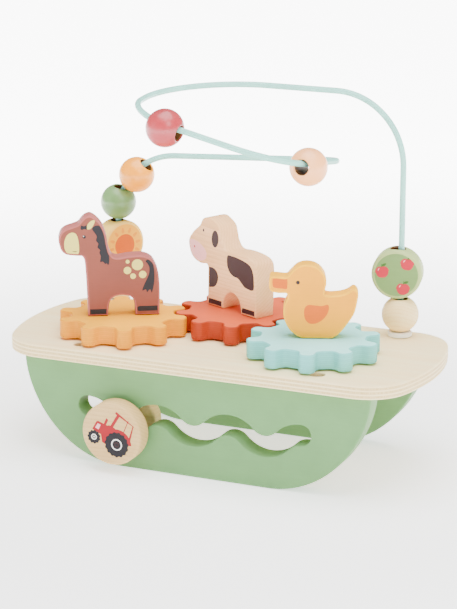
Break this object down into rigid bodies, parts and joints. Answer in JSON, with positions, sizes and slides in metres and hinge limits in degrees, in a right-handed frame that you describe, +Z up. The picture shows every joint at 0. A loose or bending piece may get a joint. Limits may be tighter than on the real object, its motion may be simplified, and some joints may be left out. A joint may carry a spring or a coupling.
{
  "type": "bead maze",
  "caption": "Wooden activity table: meshing gears carry animals, beads and picture discs ride a bent wire, and a disc slides in a wavy slot.",
  "frame": {"origin": "middle of the front panel's foot, on the surface that the toy stands on", "axes": "+X along the deck, +Y to the back, away from the slotted panel, +Z up"},
  "size_m": [0.29, 0.1437, 0.2406],
  "materials": {
    "birch_ply": "clear satin lacquer on birch plywood, layered edge",
    "green_paint": "sage green satin paint on plywood",
    "zinc_steel": "bright zinc plating",
    "white_plastic": "satin white moulding",
    "coated_wire": "pale aqua powder coat on steel wire",
    "natural_beech": "clear satin lacquer on solid beech",
    "yellow_gear_paint": "warm yellow satin paint on plywood",
    "red_gear_paint": "coral red satin paint on plywood",
    "blue_gear_paint": "pale blue satin paint on plywood",
    "horse_paint": "dusty rose satin paint, dark and cream prints",
    "duck_paint": "yellow satin paint, orange prints",
    "red_bead_paint": "coral pink satin paint",
    "peach_bead_paint": "peach satin paint",
    "yellow_bead_paint": "amber yellow satin paint",
    "green_bead_paint": "soft green satin paint",
    "apple_disc_paint": "soft green satin paint with small red apples",
    "sun_disc_paint": "pale yellow satin paint with an orange sun"
  },
  "bodies": {
    "table": {"deck_board": "birch_ply", "front_panel": "green_paint", "back_panel": "green_paint", "deck_screw_1": "zinc_steel", "deck_screw_2": "zinc_steel", "deck_screw_3": "zinc_steel", "deck_screw_4": "zinc_steel", "wire_frame": "coated_wire", "wire_collar_left": "white_plastic", "wire_collar_right": "white_plastic", "yellow_gear_washer": "zinc_steel", "yellow_gear_spacer": "white_plastic", "red_gear_washer": "zinc_steel", "red_gear_spacer": "white_plastic", "blue_gear_washer": "zinc_steel", "blue_gear_spacer": "white_plastic"},
    "horse_carousel": {"yellow_gear": "yellow_gear_paint", "yellow_gear_axle": "zinc_steel", "horse": "horse_paint", "horse_dowel_1": "natural_beech", "horse_dowel_2": "natural_beech"},
    "cow_carousel": {"red_gear": "red_gear_paint", "red_gear_axle": "zinc_steel", "cow": "natural_beech", "cow_dowel_1": "natural_beech", "cow_dowel_2": "natural_beech"},
    "duck_carousel": {"blue_gear": "blue_gear_paint", "blue_gear_axle": "zinc_steel", "duck": "duck_paint", "duck_dowel_1": "natural_beech", "duck_dowel_2": "natural_beech"},
    "slider": {"slider_disc": "natural_beech", "slider_peg": "natural_beech", "slider_retaining_disc": "natural_beech", "slider_screw": "zinc_steel"},
    "right_post_bead": {"natural_bead_right": "natural_beech"},
    "right_post_disc": {"apple_disc": "apple_disc_paint"},
    "left_post_bead": {"natural_bead_left": "natural_beech"},
    "left_post_disc": {"sun_disc": "sun_disc_paint"},
    "left_bend_lower_bead": {"green_bead": "green_bead_paint"},
    "left_bend_upper_bead": {"yellow_bead": "yellow_bead_paint"},
    "front_bend_bead": {"red_bead": "red_bead_paint"},
    "side_run_bead": {"peach_bead": "peach_bead_paint"}
  },
  "joints": [
    {"name": "yellow_gear_spin", "type": "hinge", "parent": "table", "child": "horse_carousel", "pos_m": [-0.06958, 0.03525, 0.0854], "axis": [0, 0, 1], "continuous": true},
    {"name": "red_gear_spin", "type": "hinge", "parent": "table", "child": "cow_carousel", "pos_m": [-0.0016, 0.0745, 0.0854], "axis": [0, 0, 1], "continuous": true},
    {"name": "blue_gear_spin", "type": "hinge", "parent": "table", "child": "duck_carousel", "pos_m": [0.06638, 0.03525, 0.0854], "axis": [0, 0, 1], "continuous": true},
    {"name": "slider_swing", "type": "hinge", "parent": "table", "child": "slider", "pos_m": [-0.05, -0.00925, 0.04538], "axis": [0, 1, 0], "range_deg": [-44, 44]},
    {"name": "right_bead_lift", "type": "slide", "parent": "table", "child": "right_post_bead", "axis": [0, 0, 1], "range_m": [0, 0.025]},
    {"name": "apple_disc_lift", "type": "slide", "parent": "right_post_bead", "child": "right_post_disc", "axis": [0, 0, 1], "range_m": [0, 0.028]},
    {"name": "left_bead_spin", "type": "hinge", "parent": "table", "child": "left_post_bead", "pos_m": [-0.1051, 0.10175, 0.09303], "axis": [0, 0, 1], "continuous": true},
    {"name": "sun_disc_spin", "type": "hinge", "parent": "table", "child": "left_post_disc", "pos_m": [-0.1051, 0.10175, 0.12126], "axis": [0, 0, 1], "continuous": true},
    {"name": "green_bead_climb", "type": "hinge", "parent": "table", "child": "left_bend_lower_bead", "pos_m": [-0.059, 0.10122, 0.14017], "axis": [0.0115, 0.9999, 0], "range_deg": [0, 20]},
    {"name": "yellow_bead_climb", "type": "hinge", "parent": "left_bend_lower_bead", "child": "left_bend_upper_bead", "pos_m": [-0.059, 0.10122, 0.14017], "axis": [0.0115, 0.9999, 0], "range_deg": [0, 20]},
    {"name": "red_bead_travel", "type": "hinge", "parent": "table", "child": "front_bend_bead", "pos_m": [-0.01867, 0.03594, 0.22765], "axis": [0.2514, -0.0038, 0.9679], "range_deg": [-76, 7]},
    {"name": "peach_bead_travel", "type": "slide", "parent": "table", "child": "side_run_bead", "axis": [0.0638, 0.987, -0.1477], "range_m": [0, 0.032]}
  ],
  "couplings": [
    {"joint": "red_gear_spin", "follows": "yellow_gear_spin", "ratio": -1},
    {"joint": "blue_gear_spin", "follows": "yellow_gear_spin", "ratio": 1}
  ]
}
